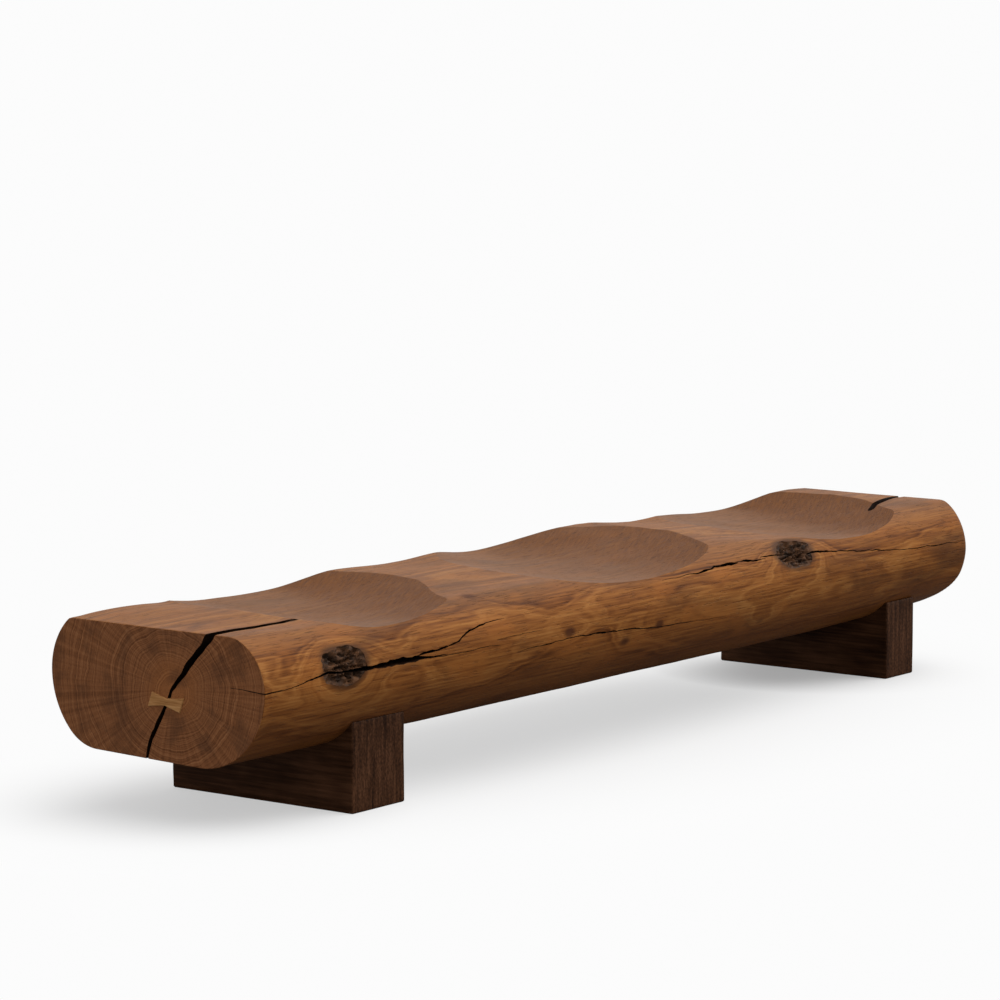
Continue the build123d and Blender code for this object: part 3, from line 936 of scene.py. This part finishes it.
def eased_rectangle(half_x, half_y, radius, spacing):
    """A closed rounded rectangle about the origin: quarter circles, with straight runs between them."""
    quarter = np.linspace(0, np.pi / 2, 9)
    turn = np.concatenate([quarter + k * np.pi / 2 for k in range(4)])
    corner_x = np.repeat([1, -1, -1, 1], 9) * (half_x - radius)
    corner_y = np.repeat([1, 1, -1, -1], 9) * (half_y - radius)
    line = np.stack([corner_x + radius * np.cos(turn), corner_y + radius * np.sin(turn)], -1)
    runs = []
    for start, end in zip(line, np.roll(line, -1, axis=0)):
        parts = max(1, int(np.linalg.norm(end - start) / spacing))
        runs.append(start + (end - start) * np.linspace(0, 1, parts, endpoint=False)[:, None])
    return np.concatenate(runs)


def block_mesh(name, low, high, seed):
    """Rounded rectangles from the floor up, smaller at both ends, with each face let in a little."""
    middle, half = (low + high) / 2, (high - low) / 2
    quarter = np.linspace(0, np.pi / 2, 5)
    rise = BLOCK_EASING * (1 - np.cos(quarter))
    inset = BLOCK_EASING * (1 - np.sin(quarter))
    between = np.linspace(low[2] + BLOCK_EASING, high[2] - BLOCK_EASING, 20)[1:-1]
    heights = np.concatenate([low[2] + rise, between, high[2] - rise[::-1]])
    insets = np.concatenate([inset, 0 * between, inset[::-1]])[:, None]
    outline = eased_rectangle(half[0], half[1], BLOCK_EASING, 10 * MM)
    flat = outline * (1 - insets[..., None] / half[:2])
    grid = np.concatenate([flat, heights[:, None, None] + 0 * flat[..., :1]], -1)
    let_in = 0.35 * MM * (1 + np.tanh(waves(grid + middle, (0.12, 0.18, 0.15), seed)))
    grid[..., :2] *= 1 - let_in[..., None] / half[:2]
    return closed_tube(name, grid + middle * [1, 1, 0])


blocks = []
for number, block in enumerate(BLOCKS):
    low, high = node_box(block)
    piece = block_mesh(block.replace("foot", "block"), low, high, seed=80 + number)
    for side in SIDES:
        centre = axis_of(f"{block}_{side}_lag_screw")
        bore = prism(circle(centre, COUNTERBORE_RADIUS, 40), -OUTSIDE, COUNTERBORE_DEPTH, 2)
        cut(piece, closed_tube("counterbore", bore, "cleft"))
        shank_hole = circle(centre, SHANK_HOLE_RADIUS, 24)
        hole = prism(shank_hole, COUNTERBORE_DEPTH - 1 * MM, high[2] + OUTSIDE, 2)
        cut(piece, closed_tube("shank_hole", hole, "cleft"))
    blocks.append((block, piece))
print("blocks:", [len(piece.data.polygons) for _, piece in blocks], "faces")

# %% [markdown]
# ## Lag screws and washers
# They sit up in the counterbores and hold the log down. The screw is one tube: a hexagonal head,
# a plain shank, a rolled thread and a point. Its radius is a function of height and angle,
# so the thread's ridge winds round as the angle turns.

# %% Screws and washers
SCREW_SIDES = 24
SHANK = 6 * MM
THREAD_PITCH = 4.5 * MM
THREAD_DEPTH = 1.5 * MM
THREAD_LENGTH = 110 * MM
POINT_LENGTH = 14 * MM
HEAD_HEIGHT = 8 * MM
HEAD_FLATS = 19 * MM
CORNER_CAP = 0.56  # the head's corners are turned off at this share of its width over flats
WASHER_BORE = 6.6 * MM


def hexagon_radius(angle, flats):
    """Distance to the side of a hexagon: half the width over flats / cos(angle to the nearest flat)."""
    turn = (angle + np.pi / 6) % (np.pi / 3) - np.pi / 6
    return flats / 2 / np.cos(turn)


def lag_screw(name, low, high):
    """Radius by height and angle: a hexagon, a shank, then the shank less a wave of both."""
    angle = np.linspace(0, 2 * np.pi, SCREW_SIDES, endpoint=False)[None, :]
    bottom, top = low[2], high[2]
    head = bottom + HEAD_HEIGHT * np.array([0, 0.12, 0.88, 1])
    head_share = np.array([0.9, 1, 1, 0.97])[:, None]
    shank = np.array([bottom + HEAD_HEIGHT, top - THREAD_LENGTH])
    thread = np.arange(top - THREAD_LENGTH, top, 0.9 * MM)[1:]
    phase = (thread[:, None] / THREAD_PITCH + angle / (2 * np.pi)) % 1
    groove = THREAD_DEPTH * (1 - np.abs(2 * phase - 1) ** 0.6)
    taper = np.clip((top - thread) / POINT_LENGTH, 0.1, 1)[:, None]
    radius = np.concatenate([
        head_share * np.minimum(hexagon_radius(angle, HEAD_FLATS), HEAD_FLATS * CORNER_CAP),
        np.full((2, SCREW_SIDES), SHANK),
        np.clip((SHANK - groove) * taper, 0.4 * MM, SHANK),
    ])
    height = np.concatenate([head, shank, thread, [top]])[:, None]
    radius = np.concatenate([radius, np.full((1, SCREW_SIDES), 0.3 * MM)])
    middle = (low + high) / 2
    x = middle[0] + radius * np.cos(angle)
    y = middle[1] + radius * np.sin(angle)
    return closed_tube(name, np.stack([x, y, height + 0 * radius], -1))


def washer(name, low, high):
    """A ring whose small section is a rounded rectangle, turned about the screw's axis."""
    outer = (high[0] - low[0]) / 2
    middle = (low + high) / 2
    section = eased_rectangle((outer - WASHER_BORE) / 2, (high[2] - low[2]) / 2, 0.7 * MM, 4 * MM)
    angle = np.linspace(0, 2 * np.pi, 48, endpoint=False)[:, None]
    reach = (outer + WASHER_BORE) / 2 + section[:, 0]
    x, y = middle[0] + reach * np.cos(angle), middle[1] + reach * np.sin(angle)
    points = np.stack([x, y, middle[2] + section[:, 1] + 0 * x], -1).reshape(-1, 3)
    quads = ring_faces(len(angle) + 1, len(section)) % len(points)
    if enclosed_volume(points - middle, quads) < 0:
        quads = quads[:, ::-1]
    return put_in_scene(name, points, quads.tolist())


fixings = []
for block in BLOCKS:
    for side in SIDES:
        for kind, maker in (("lag_screw", lag_screw), ("washer", washer)):
            node = f"{block}_{side}_{kind}"
            fixings.append((node, maker(node.replace("foot", "block"), *node_box(node))))
print("fixings:", [len(piece.data.polygons) for _, piece in fixings[:2]], "faces each")

# %% [markdown]
# ## The log's finish
# Wood shows its rings as circles on an end and as long flames on a side, because both are cuts through
# the same nested tubes. So the finish works out a distance from the pith for every point in space,
# bends it slowly along the log, and raises it in a hill at each knot, which draws loops round the knot.
# An image would have to be mapped and stretched, and this solid pattern agrees on every face and cut.

# %% Rings about the pith
PITH = (0, -0.046, 0.292)
KNOT_HILL, PIN_HILL = 0.026, 0.007  # how much the distance is raised in the middle of each
PIN_KNOTS = (
    # x, y, z and the reach of its swirl
    (-0.645, -0.215, 0.403, 0.030), (-0.366, -0.294, 0.304, 0.022), (-0.138, -0.290, 0.252, 0.022),
    (-0.008, -0.293, 0.279, 0.018), (0.448, -0.285, 0.224, 0.024),
)


def centred(recipe, noise, width):
    """Noise about zero: (noise - 0.5) x width."""
    return recipe.number("MULTIPLY", recipe.number("SUBTRACT", noise, 0.5), width)


def bulges(recipe, spots):
    """For spots (centre, reach, height): the sum of their hills, and each distance over its reach."""
    hill, distances = 0.0, []
    for centre, reach, height in spots:
        offset = recipe.vector("SUBTRACT", recipe.place, tuple(centre))
        offset = recipe.vector("MULTIPLY", offset, tuple(1 / part for part in reach))
        away = recipe.vector("LENGTH", offset, output=1)
        hill = recipe.number("ADD", hill, recipe.step(away, 2.6, 0.3, 0.0, height))
        distances.append(away)
    return hill, distances


def nested_rings(recipe, radius):
    """Distance from the pith + slow and quick noise + a hill at each knot, and how near each knot is."""
    slow = centred(recipe, recipe.noise((0.9, 4, 4), 1.5), 0.085)
    quick = centred(recipe, recipe.noise((4, 18, 18), 2.5), 0.022)
    knots = [
        (skin_at(NEAR_END + station, girth)[0], (half_length, half_girth, half_girth), KNOT_HILL)
        for station, girth, half_length, half_girth, _ in KNOTS
    ]
    pins = [((x, y, z), (1.8 * reach, reach, reach), PIN_HILL) for x, y, z, reach in PIN_KNOTS]
    hill, near_knot = bulges(recipe, knots)
    pin_hill, near_pin = bulges(recipe, pins)
    ring = recipe.number("ADD", recipe.number("ADD", radius, slow), quick)
    ring = recipe.number("ADD", ring, recipe.number("ADD", hill, pin_hill))
    return ring, near_knot, near_pin


def growth_layers(recipe, ring, per_metre, detail):
    """Noise read along the one number ring x per_metre, so each nested tube has a tone of its own."""
    along = {"W": recipe.number("MULTIPLY", ring, per_metre), "Scale": 1.0, "Detail": detail}
    return recipe.add("TexNoise", along, noise_dimensions="1D")


print("rings bend round", len(KNOTS), "knots and", len(PIN_KNOTS), "pin knots")

# %% [markdown]
# ### Side wood and end wood
# Along the log the layers mix with long fibres. Across it they mix with rays that run out from
# the pith. Each tone is looked up in a ramp of browns, and soft stains lie over it.

# %% Side wood and end wood
# the last colour on this line is painted shade for side faces that look down
STAIN, RUDDY, PAINTED_UNDERSIDE_SHADE = (0.080, 0.030, 0.012, 1), (0.385, 0.130, 0.026, 1), (0.110, 0.034, 0.010, 1)
HEART, END_STAIN = (0.420, 0.150, 0.042, 1), (0.095, 0.038, 0.018, 1)


def side_wood(recipe, bands, fine_bands, fibres, clouds, facing_up):
    """Tone = shares of layers and fibres, in four browns, stained, and darkened by painted shade where
    it faces down.
    """
    tone = recipe.weighted((bands, 0.34), (fibres, 0.48), (fine_bands, 0.18))
    wood = recipe.ramp(
        tone, (0.34, (0.080, 0.022, 0.004)), (0.45, (0.205, 0.067, 0.014)),
        (0.55, (0.315, 0.118, 0.027)), (0.68, (0.440, 0.190, 0.052)),
    )
    patches = recipe.noise((2.6, 9, 9), 3, roughness=0.6)
    wood = recipe.mix(recipe.step(patches, 0.50, 0.72, 0.0, 0.62), wood, STAIN)
    wood = recipe.mix(recipe.step(clouds, 0.50, 0.70, 0.0, 0.45), wood, RUDDY)
    # painted shade: the side darkens as it turns to face the floor
    return recipe.mix(recipe.step(facing_up, -0.12, -0.78, 0.0, 0.55), wood, PAINTED_UNDERSIDE_SHADE)


def end_wood(recipe, bands, fine_bands, clouds, across, radius):
    """Tone = shares of layers and rays, in three browns, warmer at the pith and stained in clouds."""
    spoke = recipe.vector("MULTIPLY", recipe.vector("NORMALIZE", across), (0, 24, 24))
    rays = recipe.add("TexNoise", {"Vector": spoke, "Scale": 1.0, "Detail": 4.0})
    tone = recipe.weighted((bands, 0.24), (fine_bands, 0.42), (rays, 0.34))
    wood = recipe.ramp(
        tone, (0.36, (0.135, 0.047, 0.017)),
        (0.50, (0.255, 0.097, 0.037)), (0.66, (0.375, 0.158, 0.066)),
    )
    wood = recipe.mix(recipe.step(radius, 0.10, 0.02, 0.0, 0.40), wood, HEART)
    return recipe.mix(recipe.step(clouds, 0.48, 0.68, 0.0, 0.55), wood, END_STAIN)


print("stains on the side:", STAIN[:3], RUDDY[:3], "and on the end:", HEART[:3], END_STAIN[:3])

# %% [markdown]
# ### Wear, painted sheen and shade, knots and clefts
# Use has worn the top and the seats to a flatter brown, and faces that look up also carry a painted
# sheen, greyer than the sides. The gouge has left its sweep on the seats' far walls, which are also
# darkened by painted shade where they face the near end. Clefts are painted near black, as shade. A
# painted map could say where all this lies. The marks that the cutters left on the faces say it already,
# so no map is needed.

# %% Wear, painted sheen and shade, knots and clefts
# the first colour on this line is wear together with a painted sheen on faces that look up
TOP_WEAR_AND_SHEEN, SEAT_WEAR, PORE = (0.195, 0.097, 0.050, 1), (0.135, 0.070, 0.038, 1), (0.045, 0.018, 0.008, 1)
# the last colour on this line is painted shade for the inside of clefts and holes
PIN, KNOT_RIM, CLEFT_SHADE = (0.050, 0.013, 0.006, 1), (0.052, 0.022, 0.010, 1), (0.014, 0.006, 0.003, 1)
GOUGE_ANGLE = -0.42  # in radians about the vertical


def wear_sheen_and_shade(recipe, wood, facing_x, facing_up, pores):
    """Worn top and seats with painted sheen; gouge marks in painted shade where a seat faces the near
    end; pores, mostly on the top.
    """
    seat = recipe.mark("seat")
    # painted shade: seat faces that turn to the near end, away from the sun, get a darker gouged wood
    wall = recipe.number("MULTIPLY", seat, recipe.step(facing_x, 0.02, -0.15))
    top = recipe.number("MAXIMUM", seat, recipe.step(facing_up, 0.55, 0.97))
    # wear and painted sheen: faces that look up, and the seats, turn a greyer brown
    wood = recipe.mix(recipe.number("MULTIPLY", top, 0.42), wood, TOP_WEAR_AND_SHEEN)
    wood = recipe.mix(recipe.number("MULTIPLY", seat, 0.45), wood, SEAT_WEAR)
    turned = {"Vector": recipe.place, "Angle": GOUGE_ANGLE}
    swept = recipe.add("VectorRotate", turned, rotation_type="Z_AXIS")
    swept = recipe.vector("MULTIPLY", swept, (16, 230, 40))
    gouged = recipe.add("TexNoise", {"Vector": swept, "Scale": 1.0, "Detail": 4.0})
    gouged_shaded_wall = recipe.ramp(gouged, (0.34, (0.092, 0.028, 0.004)), (0.66, (0.160, 0.052, 0.007)))
    wood = recipe.mix(recipe.number("MULTIPLY", wall, 0.8), wood, gouged_shaded_wall)
    open_pores = recipe.number("MULTIPLY", pores, recipe.step(top, 0.0, 1.0, 0.22, 0.5))
    return recipe.mix(open_pores, wood, PORE)


def knots_and_clefts(recipe, wood, near_knot, near_pin, clouds):
    """Dark pin knots, then each knot's ragged rim, its broken floor, and painted shade, near black,
    inside clefts.
    """
    for away in near_pin:
        wood = recipe.mix(recipe.step(away, 0.75, 0.25, 0.0, 0.8), wood, PIN)
    fray = centred(recipe, clouds, 0.8)
    for away in near_knot:
        ragged = recipe.number("ADD", away, fray)
        wood = recipe.mix(recipe.step(ragged, 1.34, 0.94, 0.0, 0.8), wood, KNOT_RIM)
    embers = recipe.noise((48, 60, 60), 3)
    char = recipe.ramp(embers, (0.38, (0.028, 0.015, 0.009)), (0.68, (0.130, 0.058, 0.026)))
    wood = recipe.mix(recipe.mark("knot"), wood, char)
    # painted shade: every face of a cleft, hole or recess is near black
    return recipe.mix(recipe.mark("cleft"), wood, CLEFT_SHADE)


print("marks read by the finish:", MARKS)

# %% [markdown]
# ### The whole log
# A face that looks along the log is end wood, and any other is side wood. Fibres and pores are noise
# stretched along the log, and they also roughen the surface.


# %% Log finish
def log_finish():
    """Side or end wood by the way a face looks, then wear with painted sheen and shade, knots, and
    clefts in painted shade, with fibres as bumps.
    """
    recipe = Recipe("log_wood_finish")
    facing_x = recipe.add("SeparateXYZ", {0: recipe.facing}, 0)
    facing_up = recipe.add("SeparateXYZ", {0: recipe.facing}, 2)
    across = recipe.vector("MULTIPLY", recipe.vector("SUBTRACT", recipe.place, PITH), (0, 1, 1.06))
    radius = recipe.vector("LENGTH", across, output=1)
    ring, near_knot, near_pin = nested_rings(recipe, radius)
    bands = growth_layers(recipe, ring, 95, 3.0)
    fine_bands = growth_layers(recipe, ring, 330, 2.0)
    fibres = recipe.noise((5, 190, 190), 3, roughness=0.6)
    pores = recipe.step(recipe.noise((26, 300, 300), 1), 0.62, 0.70)
    clouds = recipe.noise((6.5, 15, 15), 3)
    side = side_wood(recipe, bands, fine_bands, fibres, clouds, facing_up)
    cut_end = end_wood(recipe, bands, fine_bands, clouds, across, radius)
    wood = recipe.mix(recipe.step(recipe.number("ABSOLUTE", facing_x), 0.55, 0.9), side, cut_end)
    wood = wear_sheen_and_shade(recipe, wood, facing_x, facing_up, pores)
    wood = knots_and_clefts(recipe, wood, near_knot, near_pin, clouds)
    rough = recipe.number("ADD", recipe.number("MULTIPLY", fibres, 0.25), 0.45)
    height = recipe.number("SUBTRACT", recipe.number("MULTIPLY", fibres, 0.6), pores)
    return recipe.surface(wood, rough, height, 0.0006, Specular_IOR_Level=0.07)


finishes = {"log_wood": log_finish()}
print("log finish:", len(finishes["log_wood"].node_tree.nodes), "nodes")

# %% [markdown]
# ## The blocks' and the key's finish
# The blocks are a darker timber. Their grain runs along the block, from front to back, so their
# front faces show end grain. The key is a pale, plain hardwood. Rings would hardly show in pieces
# so small, so both are flat layers and fibres, each turned to its own direction.


# %% Plain timber finish
def timber_finish(name, layers, fibres, colours):
    """Growth layers and finer fibres, each noise with its own stretch, between three colours."""
    recipe = Recipe(name)
    coarse = recipe.noise(layers, 3, roughness=0.6)
    fine = recipe.noise(fibres, 2)
    tone = recipe.weighted((coarse, 0.6), (fine, 0.4))
    dark, middle, light = colours
    wood = recipe.ramp(tone, (0.36, dark), (0.50, middle), (0.66, light))
    return recipe.surface(wood, 0.5, tone, 0.0005, Specular_IOR_Level=0.06)


def steel_finish():
    """Zinc-plated steel, a little mottled."""
    recipe = Recipe("fixing_steel_finish")
    mottle = recipe.noise((180, 180, 180), 3)
    colour = recipe.ramp(mottle, (0.35, (0.38, 0.38, 0.37)), (0.65, (0.56, 0.56, 0.54)))
    rough = recipe.number("ADD", recipe.number("MULTIPLY", mottle, 0.3), 0.25)
    return recipe.surface(colour, rough, mottle, 0.0002, Metallic=1.0)


WALNUT = ((0.018, 0.0060, 0.002), (0.058, 0.0225, 0.0095), (0.130, 0.055, 0.026))
PALE = ((0.32, 0.140, 0.044), (0.47, 0.225, 0.080), (0.62, 0.340, 0.140))
finishes["block_wood"] = timber_finish("block_wood_finish", (95, 4, 7), (260, 7, 150), WALNUT)
finishes["key_wood"] = timber_finish("key_wood_finish", (60, 14, 180), (300, 25, 420), PALE)
finishes["fixing_steel"] = steel_finish()
print("finishes:", ", ".join(finishes))

# %% [markdown]
# ## Handing the pieces over
# Every made piece rides on the bench's one body, and stands for the CAD node whose place it takes.

# %% Hand over
BIG_FACE = 10e-4  # in square metres; bigger faces are shaded flat


def hand_over(piece, node, slot, sharp_angle=35):
    """Smooth shading, broken at sharp edges and flat on big faces, then the finish and the body."""
    mesh = piece.data
    mesh.materials.clear()
    mesh.materials.append(finishes[slot])
    mesh.polygons.foreach_set("material_index", np.zeros(len(mesh.polygons), np.int32))
    mesh.shade_smooth()
    mesh.set_sharp_from_angle(angle=math.radians(sharp_angle))
    area = np.empty(len(mesh.polygons))
    mesh.polygons.foreach_get("area", area)
    mesh.polygons.foreach_set("use_smooth", area < BIG_FACE)
    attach(piece, "root")
    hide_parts(node)


hand_over(bench_log, "log", "log_wood", sharp_angle=32)
hand_over(key, "butterfly_key", "key_wood", sharp_angle=60)
for node, piece in blocks:
    hand_over(piece, node, "block_wood")
for node, piece in fixings:
    hand_over(piece, node, "fixing_steel", sharp_angle=25)
